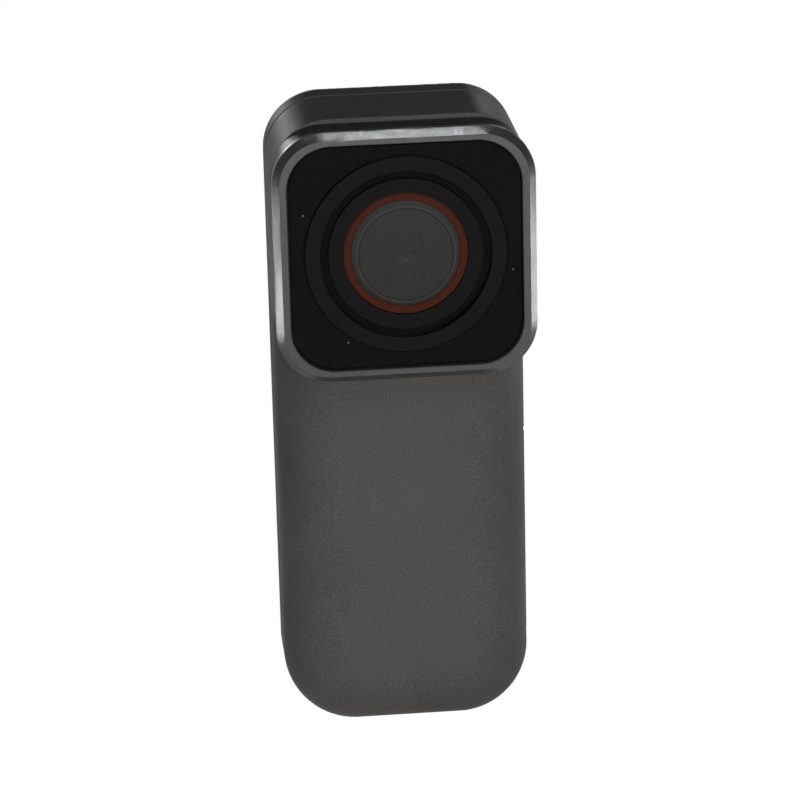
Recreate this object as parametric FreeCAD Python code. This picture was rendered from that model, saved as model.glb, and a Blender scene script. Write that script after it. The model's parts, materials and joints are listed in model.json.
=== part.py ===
import FreeCAD, Part
import math
import os

from FreeCAD import Vector

# A body camera: a slim upright bar with a square lens head on its upper front and a sprung clip on its back.
# Millimetres. X runs to the right seen from the front, Y from front to back, Z up.
# The origin is at the middle of the foot. Depths are counted backwards from the bezel's front face.

# Outer form of the housing
BODY_WIDTH = 30.0
BODY_HEIGHT = 77.2
HEAD_REACH = 6.0
FRONT_SHELL_DEPTH = 11.2
REAR_COVER_DEPTH = 6.2
TOP_CORNER_R = 6.9
BOTTOM_CORNER_R = 8.7
FRONT_ROUND_R = 8.0
REAR_ROUND_R = 3.0
FOOT_FLAT = 0.5
WALL = 1.6
SEAM_WIDTH = 0.3
SEAM_GROOVE = 0.3
SEAM_BEVEL = 0.15

# Lens head
BEZEL_PROUD = 0.175
BEZEL_HEIGHT = 29.8
BEZEL_CORNER_R = 6.2
BEZEL_TOP_GAP = 0.2
BEZEL_DEPTH = 1.75
BEZEL_SIDE_RIM = 1.66
BEZEL_END_RIM = 1.5
BEZEL_OPENING_R = 5.2
BEZEL_CHAMFER = 0.82
BEZEL_CHAMFER_DEPTH = 0.9
BEZEL_LIP = 0.1
COLLAR_INSET = 0.3
COLLAR_WALL = 2.6
PANEL_GAP = 0.25
PANEL_SET_BACK = 0.6
CARRIER_THICKNESS = 1.3
SEAT_CLEARANCE = 0.05

# Stepped face round the lens, as radii and as depths below the bezel face
LENS_RAISE = 0.2
STEP_OUTER_R = 11.65
STEP_INNER_R = 9.95
STEP_SET_BACK = 0.2
GROOVE_SET_BACK = 1.0
TRIM_OUTER_R = 8.95
TRIM_SET_BACK = 0.45
ACCENT_OUTER_R = 7.2
ACCENT_SET_BACK = 0.8
WINDOW_R = 6.28
WINDOW_SET_BACK = 0.4
WINDOW_CROWN = 0.25
WINDOW_CHAMFER = 0.45
WINDOW_SEAL = 0.35
RING_CLEARANCE = 0.05

# Lens, holder and image sensor
BARREL_R = 6.0
BARREL_LEDGE = 0.6
FRONT_LENS_R = 4.65
FRONT_LENS_DEPTH = 2.2
FRONT_LENS_BULGE = 0.5
INNER_LENS_R = 3.85
INNER_LENS_BULGE = 0.5
CLEAR_R = 3.2
MIDDLE_LENS_DEPTH = 1.8
SPACER_DEPTH = 0.8
REAR_LENS_DEPTH = 2.0
RETAINER_DEPTH = 0.9
HOLDER_WIDTH = 14.0
HOLDER_GAP = 1.0
HOLDER_FLANGE = 1.0
HOLDER_FLANGE_HEIGHT = 0.9
SHELL_OPENING_R = 8.6
SENSOR_WIDTH = 8.0
SENSOR_HEIGHT = 6.4
SENSOR_THICKNESS = 0.6
FILTER_WIDTH = 9.0
FILTER_THICKNESS = 0.25
SENSOR_BOARD_THICKNESS = 0.8
CONNECTOR_WIDTH = 10.0
CONNECTOR_LENGTH = 3.0
CONNECTOR_HEIGHT = 1.3
CONNECTOR_BELOW_LENS = 4.8

# Main board and what it carries in front
BOARD_BEFORE_SEAM = 1.5
BOARD_THICKNESS = 1.0
BOARD_SIDE_GAP = 1.9
BOARD_END_GAP = 1.3
BOARD_BOSS_R = 1.6
BOARD_SCREW_R = 0.6
BOARD_SCREW_LENGTH = 4.0
BOARD_SCREW_HEAD_R = 1.1
BOARD_SCREW_HEAD = 0.6
LOW_POST_RISE = 4.5
HIGH_POST_GAP = 3.7
SIDE_POST_GAP = 0.3
CHIP_GAP = 0.6
MEMORY_WIDTH = 11.0
MEMORY_HEIGHT = 9.0
MEMORY_THICKNESS = 0.8
SHIELD_HEIGHT = 14.0
SHIELD_THICKNESS = 1.6
SHIELD_WALL = 0.25
RADIO_WIDTH = 9.0
RADIO_THICKNESS = 1.4
MOTOR_R = 4.0
MOTOR_THICKNESS = 2.7
MOTOR_BELOW_HEAD = 12.0
MICROPHONE_WIDTH = 2.4
MICROPHONE_THICKNESS = 1.0
MICROPHONE_GAP = 0.2
SOUND_HOLE_R = 0.45
BOOT_R = 0.9

# Battery and speaker, behind the board
BATTERY_SIDE_GAP = 0.3
BATTERY_BELOW_SPEAKER = 14.0
BATTERY_EDGE_R = 1.2
TAPE_THICKNESS = 0.3
TAPE_MARGIN = 1.0
FOAM_THICKNESS = 0.3
PLUG_WIDTH = 6.0
PLUG_HEIGHT = 2.6
PLUG_THICKNESS = 1.4
PLUG_RISE = 1.5
LEAD_WIDTH = 3.0
LEAD_THICKNESS = 0.3
SPEAKER_WIDTH = 11.0
SPEAKER_HEIGHT = 7.0
SPEAKER_THICKNESS = 3.0
SPEAKER_CORNER_R = 1.5
SPEAKER_TOP_GAP = 3.7
CONTACT_WIDTH = 1.2
CONTACT_HEIGHT = 1.6
CONTACT_SPACING = 5.0
GRILLE_HOLES = 5
GRILLE_PITCH = 1.9
GRILLE_HOLE_R = 0.5

# Screws that join the shells
SHELL_BOSS_R = 1.9
SHELL_BOSS_INSET = 4.8
SHELL_BOSS_LOW = 6.3
SHELL_BOSS_BELOW_TOP = 5.9
SHELL_SCREW_R = 0.8
SHELL_SCREW_LENGTH = 9.5
SHELL_SCREW_HEAD_R = 1.4
SHELL_SCREW_HEAD = 0.9
SCREW_RECESS = 1.2
SCREW_CLEARANCE = 0.15
THREAD_CLEARANCE = 0.02
DRIVE_SHARE = 0.5

# Buttons, side board and status light, on the right side of the head
BUTTON_DEPTH = 11.5
POWER_BUTTON_R = 2.4
POWER_ABOVE_LENS = 4.0
RECORD_BUTTON_WIDTH = 4.8
RECORD_BUTTON_LENGTH = 9.6
BUTTON_GAP = 0.6
BUTTON_TRAVEL = 0.35
BUTTON_CLEARANCE = 0.15
BUTTON_DISH = 0.4
BUTTON_EDGE_R = 0.25
BUTTON_DISH_MARGIN = 0.7
BUTTON_FLANGE = 0.7
BUTTON_FLANGE_THICKNESS = 0.6
BUTTON_STOP_GAP = 0.08
SWITCH_GAP = 0.1
SWITCH_SIZE = 3.2
SWITCH_HEIGHT = 1.0
PLUNGER_R = 0.7
PLUNGER_HEIGHT = 0.3
SIDE_BOARD_THICKNESS = 0.8
SIDE_BOARD_WIDTH = 6.2
SIDE_BOARD_MARGIN = 1.8
LIGHT_R = 0.75

# Port bay and its door, on the right side of the lower body
BAY_BOTTOM = 10.0
BAY_ABOVE_CARD = 2.36
BAY_WIDTH = 4.7
BAY_BEFORE_SEAM = 0.8
BAY_FLOOR = 1.0
BAY_RIM = 1.4
DOOR_THICKNESS = 1.0
DOOR_GAP = 0.15
DOOR_SEAL_THICKNESS = 0.4
DOOR_SEAL_INSET = 0.4
DOOR_SEAL_WALL = 0.4
DOOR_SEAL_GAP = 0.1
DOOR_PIN_R = 0.35
DOOR_PIN_BITE = 0.55
DOOR_KNUCKLE_R = 0.8
DOOR_AXIS_INSET = 1.15
DOOR_END = 0.4
DOOR_NOTCH_R = 1.6
DOOR_NOTCH_OUT = 0.5
DOOR_NOTCH_WIDTH = 3.2
USB_WIDTH = 8.94
USB_HEIGHT = 3.26
USB_LENGTH = 7.0
USB_WALL = 0.3
USB_TONGUE_WIDTH = 6.7
USB_TONGUE = 0.7
USB_ABOVE_BAY = 1.0
CARD_SLOT_WIDTH = 12.4
CARD_SLOT_LENGTH = 13.0
CARD_SLOT_THICKNESS = 1.6
CARD_WIDTH = 11.2
CARD_THICKNESS = 0.8
CARD_ABOVE_USB = 1.6
APERTURE_CLEARANCE = 0.1

# Clip on the back
CLIP_WIDTH = 16.0
CLIP_THICKNESS = 1.4
CLIP_GAP = 3.6
CLIP_TAB = 11.5
CLIP_REACH = 35.5
CLIP_JAW_DROP = 5.8
CLIP_FLARE = 4.0
CLIP_FLARE_RISE = 1.5
CLIP_BEND_R = 4.0
CLIP_NOSE_R = 2.0
CLIP_END_R = 3.0
CLIP_OPEN_DEG = 16.0
HINGE_BELOW_TOP = 19.7
HINGE_PIN_R = 0.75
HINGE_KNUCKLE_R = 1.65
HINGE_CLEARANCE = 0.05
HINGE_BACK_GAP = 0.15
HINGE_RELIEF = 0.2
HUMP_WALL = 1.3
BRACKET_THICKNESS = 0.8
BRACKET_DROP = 4.2
BRACKET_RISE = 7.0
BRACKET_CORNER_R = 1.2
EAR_THICKNESS = 1.2
EAR_INSET = 0.2
CHEEK_THICKNESS = 1.2
CHEEK_GAP = 0.2
PAD_THICKNESS = 0.5
PAD_GAP = 0.2
PAD_MARGIN = 1.0
CLIP_SCREW_X = 4.5
CLIP_SCREW_RISE = 4.4
CLIP_SCREW_R = 0.7
CLIP_SCREW_HEAD_R = 1.3
CLIP_SCREW_HEAD = 0.5
CLIP_SCREW_LENGTH = 2.8
CLIP_BOSS_R = 1.6
CLIP_BOSS_DEPTH = 1.5
LANYARD_HOLE_R = 1.25
LANYARD_EDGE = 1.3
RIB_COUNT = 4
RIB_PITCH = 1.1
RIB_R = 0.35
RIB_MARGIN = 2.0
SPRING_WIRE_R = 0.25
SPRING_COIL_R = 1.2
SPRING_PITCH = 1.0
SPRING_TURNS = 4
SPRING_LEG = 5.5
SPRING_END_DEG = 20.0
SPRING_SEAT_WIDTH = 1.4
SPRING_SEAT_RUN = 2.5

# Depths and heights worked out from the sizes above
half_width = BODY_WIDTH / 2
bezel_half = half_width + BEZEL_PROUD
seam_depth = HEAD_REACH + FRONT_SHELL_DEPTH
body_depth = seam_depth + REAR_COVER_DEPTH
seam_front = seam_depth - SEAM_WIDTH / 2
seam_back = seam_depth + SEAM_WIDTH / 2
cover_inside = body_depth - WALL
pin_depth = body_depth + BRACKET_THICKNESS + HINGE_KNUCKLE_R + HINGE_BACK_GAP
hump_inner_r = HINGE_KNUCKLE_R + HINGE_RELIEF
hump_outer_r = hump_inner_r + HUMP_WALL
total_depth = pin_depth + hump_outer_r
front_y = -total_depth / 2
pin_z = BODY_HEIGHT - HINGE_BELOW_TOP
head_top = BODY_HEIGHT - BEZEL_TOP_GAP
head_bottom = head_top - BEZEL_HEIGHT
lens_z = (head_bottom + head_top) / 2 + LENS_RAISE
carrier_back = BEZEL_DEPTH + CARRIER_THICKNESS
window_back = BEZEL_DEPTH - WINDOW_SEAL

# Places of the boards and of the screws
board_front = seam_depth - BOARD_BEFORE_SEAM
board_back = board_front + BOARD_THICKNESS
board_half = half_width - WALL - BOARD_SIDE_GAP
post_x = board_half - BOARD_BOSS_R
board_low = SHELL_BOSS_LOW + SHELL_BOSS_R + BOARD_END_GAP
shell_boss_x = half_width - SHELL_BOSS_INSET
shell_boss_high = BODY_HEIGHT - SHELL_BOSS_BELOW_TOP
board_high = shell_boss_high - SHELL_BOSS_R - BOARD_END_GAP / 2
sensor_board_back = board_front - CONNECTOR_HEIGHT
sensor_board_front = sensor_board_back - SENSOR_BOARD_THICKNESS
shell_screw_seat = body_depth - SCREW_RECESS
clip_screw_seat = body_depth + BRACKET_THICKNESS - CLIP_SCREW_HEAD

# Port bay, counted from the seam and from the housing's right side
bay_back = seam_depth - BAY_BEFORE_SEAM
bay_front = bay_back - BAY_WIDTH
usb_z = BAY_BOTTOM + USB_ABOVE_BAY + USB_WIDTH / 2
usb_depth = board_front - USB_HEIGHT / 2
card_z = usb_z + USB_WIDTH / 2 + CARD_ABOVE_USB + CARD_SLOT_WIDTH / 2
card_depth = board_front - CARD_SLOT_THICKNESS / 2
card_high = card_z + CARD_SLOT_WIDTH / 2
bay_top = card_high + BAY_ABOVE_CARD
bay_floor_x = half_width - DOOR_THICKNESS - DOOR_SEAL_THICKNESS - DOOR_SEAL_GAP
pad_x = bay_floor_x - BAY_FLOOR
door_axis_x = half_width - DOOR_AXIS_INSET
door_axis_z = bay_top - DOOR_AXIS_INSET - DOOR_GAP

# Side controls, counted from the lens and from the housing's right side
dish_margin = BUTTON_CLEARANCE + BUTTON_DISH_MARGIN
power_z = lens_z + POWER_ABOVE_LENS
record_z = power_z - POWER_BUTTON_R - RECORD_BUTTON_LENGTH / 2 - 2 * dish_margin - BUTTON_GAP
light_z = record_z - RECORD_BUTTON_LENGTH / 2 - dish_margin - BUTTON_GAP - LIGHT_R
side_board_low = light_z - SIDE_BOARD_MARGIN
power_shape = (power_z, 2 * POWER_BUTTON_R, 2 * POWER_BUTTON_R)
record_shape = (record_z, RECORD_BUTTON_WIDTH, RECORD_BUTTON_LENGTH)
dish_x = half_width - BUTTON_DISH
inner_x = half_width - WALL
flange_top = inner_x - BUTTON_STOP_GAP
flange_bottom = flange_top - BUTTON_FLANGE_THICKNESS
plunger_top = flange_bottom - BUTTON_TRAVEL - SWITCH_GAP
switch_top = plunger_top - PLUNGER_HEIGHT
side_board_face = switch_top - SWITCH_HEIGHT
side_board_back = side_board_face - SIDE_BOARD_THICKNESS
sound_depth = board_front - MICROPHONE_THICKNESS / 2
sound_z = side_board_low - MICROPHONE_GAP - MICROPHONE_WIDTH / 2

# Lens stack, from front to back
lens_seat = carrier_back + FRONT_LENS_DEPTH
ledge_back = lens_seat + BARREL_LEDGE
middle_lens_back = ledge_back + MIDDLE_LENS_DEPTH
spacer_back = middle_lens_back + SPACER_DEPTH
rear_lens_back = spacer_back + REAR_LENS_DEPTH
barrel_back = rear_lens_back + RETAINER_DEPTH
holder_front = HEAD_REACH + WALL + HOLDER_GAP
filter_back = sensor_board_front - SENSOR_THICKNESS - SEAT_CLEARANCE
filter_front = filter_back - FILTER_THICKNESS

# Battery and speaker
battery_front = board_back + TAPE_THICKNESS
battery_back = cover_inside - FOAM_THICKNESS
speaker_high = BODY_HEIGHT - SPEAKER_TOP_GAP
speaker_low = speaker_high - SPEAKER_HEIGHT
battery_high = speaker_low - BATTERY_BELOW_SPEAKER
battery_height = battery_high - board_low
battery_width = 2 * (post_x - BOARD_SCREW_HEAD_R - BATTERY_SIDE_GAP)
speaker_front = cover_inside - SPEAKER_THICKNESS
grille_z = speaker_high - SPEAKER_HEIGHT / 3

# Clip, counted from its hinge pin
clip_inside = body_depth + CLIP_GAP
clip_middle = clip_inside + CLIP_THICKNESS / 2
clip_top = pin_z + CLIP_TAB
jaw_z = pin_z - CLIP_REACH
nose_z = jaw_z - CLIP_JAW_DROP
clip_low = nose_z - CLIP_FLARE
nose_reach = body_depth + PAD_GAP + PAD_THICKNESS + CLIP_THICKNESS / 2
ear_outer_x = CLIP_WIDTH / 2 - EAR_INSET
ear_inner_x = ear_outer_x - EAR_THICKNESS
cheek_outer_x = ear_inner_x - CHEEK_GAP
cheek_inner_x = cheek_outer_x - CHEEK_THICKNESS
lanyard_z = clip_top - LANYARD_EDGE - LANYARD_HOLE_R
spring_seat = pin_depth - SPRING_COIL_R - SPRING_WIRE_R

shell_boss_places = [(side * shell_boss_x, z) for side in (-1, 1) for z in (SHELL_BOSS_LOW, shell_boss_high)]
high_post_z = lens_z - HOLDER_WIDTH / 2 - HIGH_POST_GAP - BOARD_BOSS_R
side_post_z = card_high + SIDE_POST_GAP + BOARD_BOSS_R
board_boss_places = [(-post_x, board_low + LOW_POST_RISE), (-post_x, high_post_z), (post_x, side_post_z)]
clip_screw_places = [(side * CLIP_SCREW_X, pin_z + CLIP_SCREW_RISE) for side in (-1, 1)]

# Chips in front of the board, in a column that starts at its lower end, and the plate of the image sensor
memory_low = board_low + CHIP_GAP
memory_x = -post_x + BOARD_BOSS_R + CHIP_GAP + MEMORY_WIDTH / 2
shield_low = memory_low + MEMORY_HEIGHT + CHIP_GAP
shield_left = -board_half + CHIP_GAP
shield_right = bay_floor_x - CARD_SLOT_LENGTH - CHIP_GAP
shield_size = (shield_right - shield_left, SHIELD_HEIGHT)
shield_place = ((shield_left + shield_right) / 2, shield_low + SHIELD_HEIGHT / 2)
radio_low = max(shield_low + SHIELD_HEIGHT, card_high) + CHIP_GAP
sensor_plate = (HOLDER_WIDTH + 2 * HOLDER_FLANGE, HOLDER_WIDTH)


def depth(value):
    """Y of a depth behind the bezel's front face."""
    return front_y + value


def outline(half, low, high, low_r, high_r):
    """Rounded rectangle in the XZ plane, from its half width, its two heights and its corner radii."""
    corners = ((half, low, low_r, 1, 1), (half, high, high_r, 1, -1),
               (-half, high, high_r, -1, -1), (-half, low, low_r, -1, 1))
    points = []
    for x, z, r, side, rise in corners:
        centre = Vector(x - side * r, 0, z + rise * r)
        level = centre + Vector(0, 0, -rise * r)
        upright = centre + Vector(side * r, 0, 0)
        middle = centre + Vector(side * r, 0, -rise * r).normalize() * r
        points.append((level, middle, upright) if side == rise else (upright, middle, level))
    edges = []
    for index, (start, middle, end) in enumerate(points):
        edges.append(Part.Arc(start, middle, end).toShape())
        edges.append(Part.LineSegment(end, points[(index + 1) % 4][0]).toShape())
    return Part.Wire(edges)


def at_depth(wire, value):
    """Copy of an outline moved to a depth."""
    moved = wire.copy()
    moved.translate(Vector(0, depth(value), 0))
    return moved


def prism(wire, start, end):
    """Solid of an outline between two depths."""
    return Part.Face(at_depth(wire, start)).extrude(Vector(0, end - start, 0))


def taper(start_wire, start, end_wire, end):
    """Straight-sided solid from one outline to another at a second depth."""
    return Part.makeLoft([at_depth(start_wire, start), at_depth(end_wire, end)], True, True)


def bevelled(wire, start, end, start_bevel, end_bevel):
    """Solid between two depths with bevels at its ends, from a function that gives the outline for an inset."""
    first, last = start + start_bevel, end - end_bevel
    body = prism(wire(0), first, last)
    if start_bevel:
        body = body.fuse(taper(wire(start_bevel), start, wire(0), first))
    if end_bevel:
        body = body.fuse(taper(wire(0), last, wire(end_bevel), end))
    return body.removeSplitter()


def block(x_low, x_high, start, end, z_low, z_high):
    """Box between two X values, two depths and two heights."""
    return Part.makeBox(x_high - x_low, end - start, z_high - z_low, Vector(x_low, depth(start), z_low))


def chip(size, place, start, end):
    """Box between two depths from its width and height and from the place of its middle."""
    (width, height), (x, z) = size, place
    return block(x - width / 2, x + width / 2, start, end, z - height / 2, z + height / 2)


def disc(radius, start, end, place):
    """Round bar along Y between two depths."""
    x, z = place
    return Part.makeCylinder(radius, end - start, Vector(x, depth(start), z), Vector(0, 1, 0))


def ring(outer_r, inner_r, start, end):
    """Flat ring round the lens axis."""
    return disc(outer_r, start, end, (0, lens_z)).cut(disc(inner_r, start - 1, end + 1, (0, lens_z)))


def bar(radius, x_low, x_high, at, z):
    """Round bar along X, centred on a depth and a height."""
    return Part.makeCylinder(radius, x_high - x_low, Vector(x_low, depth(at), z), Vector(1, 0, 0))


def oblong(width, length, x_low, x_high, at, z):
    """Bar along X with round ends above and below, or a round bar where its length equals its width."""
    if length <= width:
        return bar(width / 2, x_low, x_high, at, z)
    straight = (length - width) / 2
    body = block(x_low, x_high, at - width / 2, at + width / 2, z - straight, z + straight)
    for end in (-straight, straight):
        body = body.fuse(bar(width / 2, x_low, x_high, at, z + end))
    return body.removeSplitter()


def on_both_sides(shape):
    """A shape with its mirror image on the other side of the middle."""
    return shape.fuse(shape.mirror(Vector(0, 0, 0), Vector(1, 0, 0)))


def turned(profile):
    """Solid turned about the lens axis from points given as radius and depth."""
    points = [Vector(radius, depth(value), lens_z) for radius, value in profile]
    face = Part.Face(Part.makePolygon(points + points[:1]))
    return face.revolve(Vector(0, 0, lens_z), Vector(0, 1, 0), 360)


def lens_element(radius, start, end, front_r, front_bulge, back_r, back_bulge):
    """Round lens, flat outside each face's radius; a bulge is how far a face stands out at its middle."""
    front_edge = Vector(front_r, depth(start), lens_z)
    back_edge = Vector(back_r, depth(end), lens_z)
    front_pole = Vector(0, depth(start - front_bulge), lens_z)
    back_pole = Vector(0, depth(end + back_bulge), lens_z)
    front_corner = Vector(radius, depth(start), lens_z)
    back_corner = Vector(radius, depth(end), lens_z)

    def curved(pole, edge):
        rise = edge.y - pole.y
        if abs(rise) < SEAT_CLEARANCE / 10:
            return Part.LineSegment(pole, edge).toShape()
        sphere_r = (edge.x ** 2 + rise ** 2) / (2 * abs(rise))
        half_angle = math.asin(edge.x / sphere_r) / 2
        sag = math.copysign(sphere_r * (1 - math.cos(half_angle)), rise)
        middle = Vector(sphere_r * math.sin(half_angle), pole.y + sag, lens_z)
        return Part.Arc(pole, middle, edge).toShape()

    edges = [curved(front_pole, front_edge), curved(back_pole, back_edge),
             Part.LineSegment(front_corner, back_corner).toShape(),
             Part.LineSegment(back_pole, front_pole).toShape()]
    for edge, corner in ((front_edge, front_corner), (back_edge, back_corner)):
        if corner.x > edge.x:
            edges.append(Part.LineSegment(edge, corner).toShape())
    face = Part.Face(Part.Wire(Part.__sortEdges__(edges)))
    return face.revolve(Vector(0, 0, lens_z), Vector(0, 1, 0), 360)


def screw(head_r, head, shank_r, length, head_front, place):
    """Screw driven from behind: shank towards the front, head towards the back, with a hexagon drive."""
    drive_r = head_r * DRIVE_SHARE
    body = disc(head_r, head_front, head_front + head, place)
    body = body.fuse(disc(shank_r, head_front - length, head_front, place))
    spokes = [math.radians(60 * index) for index in range(6)]
    corners = [Vector(place[0] + drive_r * math.cos(a), 0, place[1] + drive_r * math.sin(a)) for a in spokes]
    hexagon = Part.makePolygon(corners + corners[:1])
    return body.cut(prism(hexagon, head_front + head * DRIVE_SHARE, head_front + head + 1))


def strip(points, radii, thickness, x_low, x_high):
    """Bent strip in the YZ plane along points of depth and height, with a bend radius at each inner point."""
    places = [Vector(0, depth(value), z) for value, z in points]
    sides = {1: [], -1: []}
    across = Vector(1, 0, 0)

    def both(point, along):
        normal = across.cross(along)
        return {side: point + normal * (side * thickness / 2) for side in sides}

    runs = [(b - a).normalize() for a, b in zip(places, places[1:])]
    here = both(places[0], runs[0])
    bends = []
    for corner, radius, before, after in zip(places[1:], radii, runs, runs[1:]):
        turn = before.getAngle(after)
        setback = radius * math.tan(turn / 2)
        sense = 1 if across.cross(before).dot(after) > 0 else -1
        start = corner - before * setback
        centre = start + across.cross(before) * (sense * radius)
        towards = (corner - centre).normalize()
        first, last = both(start, before), both(corner + after * setback, after)
        for side in sides:
            sides[side].append(Part.LineSegment(here[side], first[side]).toShape())
            middle = centre + towards * (radius - sense * side * thickness / 2)
            sides[side].append(Part.Arc(first[side], middle, last[side]).toShape())
        here = last
        bends.append((centre, towards, turn))
    final = both(places[-1], runs[-1])
    for side in sides:
        sides[side].append(Part.LineSegment(here[side], final[side]).toShape())
    start = both(places[0], runs[0])
    ends = [Part.LineSegment(start[1], start[-1]).toShape(), Part.LineSegment(final[1], final[-1]).toShape()]
    face = Part.Face(Part.Wire(Part.__sortEdges__(sides[1] + sides[-1] + ends)))
    face.translate(Vector(x_low, 0, 0))
    return face.extrude(Vector(x_high - x_low, 0, 0)), bends


# Forms and outlines of the housing and the head
def body_outline(inset):
    """Full front outline of the housing, drawn in by a distance."""
    return outline(half_width - inset, inset - FOOT_FLAT, BODY_HEIGHT - inset,
                   BOTTOM_CORNER_R - inset, TOP_CORNER_R - inset)


def bezel_outline(inset):
    """Outline of the bezel, drawn in by a distance."""
    radius = BEZEL_CORNER_R - inset
    return outline(bezel_half - inset, head_bottom + inset, head_top - inset, radius, radius)


def opening_outline(inset):
    """Outline of the bezel's opening, drawn in by a distance."""
    radius = BEZEL_OPENING_R - inset
    rim = BEZEL_END_RIM + inset
    return outline(bezel_half - BEZEL_SIDE_RIM - inset, head_bottom + rim, head_top - rim, radius, radius)


def above_foot(shape):
    """The part of a shape that is above the flat foot."""
    size = BODY_WIDTH + BODY_HEIGHT
    return shape.cut(Part.makeBox(2 * size, 2 * size, size, Vector(-size, -size, -size)))


def front_form(inset, bevel):
    """Form of the front half: a bar with a rounded front, and the square head's block above it."""
    start, end = HEAD_REACH + inset, seam_front
    width = half_width - inset

    def bar_outline(more):
        low_r = BOTTOM_CORNER_R - inset - more
        return outline(width - more, inset - FOOT_FLAT + more, BODY_HEIGHT, low_r, low_r)

    def head_outline(more):
        return outline(width - more, head_bottom + inset + more, BODY_HEIGHT - inset - more,
                       BEZEL_CORNER_R - inset - more, TOP_CORNER_R - inset - more)

    whole = bevelled(bar_outline, start, end, 0, bevel)
    lower = whole.cut(block(-width, width, start, end, lens_z, BODY_HEIGHT))
    edges = [edge for edge in lower.Edges
             if edge.BoundBox.YMax < depth(start) + 0.01 and edge.BoundBox.ZMin < lens_z - 0.01]
    lower = lower.makeFillet(FRONT_ROUND_R - inset, edges)
    return lower.fuse(bevelled(head_outline, start, end, bevel, bevel)).removeSplitter()


def rear_form(inset, bevel):
    """Form of the rear half, with its back edges rounded."""
    start, end = seam_back, body_depth - inset
    cover = bevelled(lambda more: body_outline(inset + more), start, end, bevel, 0)
    edges = [edge for edge in cover.Edges if edge.BoundBox.YMin > depth(end) - 0.01]
    return cover.makeFillet(REAR_ROUND_R - inset, edges)


front_outer = above_foot(front_form(0, SEAM_BEVEL))
rear_outer = above_foot(rear_form(0, SEAM_BEVEL))


def cut_port_bay(shell):
    """Cuts the door's pocket, its hinge space, the two port apertures and the finger notch."""
    shell = shell.cut(block(bay_floor_x, BODY_WIDTH, bay_front, bay_back, BAY_BOTTOM, bay_top))
    swing = DOOR_KNUCKLE_R + DOOR_GAP
    shell = shell.cut(block(door_axis_x - swing, BODY_WIDTH, bay_front, bay_back, door_axis_z - swing, bay_top))
    shell = shell.cut(disc(DOOR_PIN_R + THREAD_CLEARANCE, bay_front - DOOR_PIN_BITE, seam_front + 1,
                           (door_axis_x, door_axis_z)))
    gap = APERTURE_CLEARANCE
    usb_height, usb_width = USB_HEIGHT + 2 * gap, USB_WIDTH + 2 * gap
    shell = shell.cut(oblong(usb_height, usb_width, pad_x - 1, half_width, usb_depth, usb_z))
    card_half = CARD_SLOT_WIDTH / 2 + gap
    shell = shell.cut(block(pad_x - 1, half_width, board_front - CARD_SLOT_THICKNESS - gap, board_front + gap,
                            card_z - card_half, card_z + card_half))
    middle = (bay_front + bay_back) / 2
    scoop = disc(DOOR_NOTCH_R, middle - DOOR_NOTCH_WIDTH / 2, middle + DOOR_NOTCH_WIDTH / 2,
                 (half_width + DOOR_NOTCH_OUT, BAY_BOTTOM))
    reach = block(half_width - DOOR_THICKNESS, BODY_WIDTH, bay_front, bay_back, 0, bay_top)
    return shell.cut(scoop.common(reach))


def cut_side_controls(shell):
    """Cuts the buttons' dishes, holes and flange pockets, the light's hole and the microphone's hole."""
    for z, width, length in (power_shape, record_shape):
        for growth, x_low, x_high in ((dish_margin, dish_x, BODY_WIDTH),
                                      (BUTTON_CLEARANCE, inner_x - 1, BODY_WIDTH),
                                      (BUTTON_CLEARANCE + BUTTON_FLANGE, switch_top, inner_x)):
            shell = shell.cut(oblong(width + 2 * growth, length + 2 * growth, x_low, x_high, BUTTON_DEPTH, z))
    shell = shell.cut(bar(LIGHT_R + SEAT_CLEARANCE, switch_top, BODY_WIDTH, BUTTON_DEPTH, light_z))
    return shell.cut(bar(SOUND_HOLE_R, inner_x - 1, BODY_WIDTH, sound_depth, sound_z))


def front_shell():
    """Moulded front half: hollow, with bosses, board posts, lens opening, button holes and the port bay."""
    shell = front_outer.cut(front_form(WALL, 0))
    inside = front_form(WALL / 2, 0)
    for place in shell_boss_places:
        shell = shell.fuse(disc(SHELL_BOSS_R, HEAD_REACH, seam_front, place).common(inside))
    for place in board_boss_places:
        shell = shell.fuse(disc(BOARD_BOSS_R, HEAD_REACH, board_front, place).common(inside))
    pad = block(pad_x, half_width, bay_front - BAY_RIM, seam_front, BAY_BOTTOM - BAY_RIM, bay_top + BAY_RIM)
    shell = shell.fuse(pad.common(front_outer))
    shell = cut_side_controls(cut_port_bay(shell))
    shell = shell.cut(disc(SHELL_OPENING_R, HEAD_REACH - 1, HEAD_REACH + WALL + 1, (0, lens_z)))
    for place in shell_boss_places:
        start = shell_screw_seat - SHELL_SCREW_LENGTH
        shell = shell.cut(disc(SHELL_SCREW_R + THREAD_CLEARANCE, start - THREAD_CLEARANCE, seam_depth, place))
    for place in board_boss_places:
        start = board_back - BOARD_SCREW_LENGTH
        shell = shell.cut(disc(BOARD_SCREW_R + THREAD_CLEARANCE, start - THREAD_CLEARANCE, seam_depth, place))
    return shell


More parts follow.
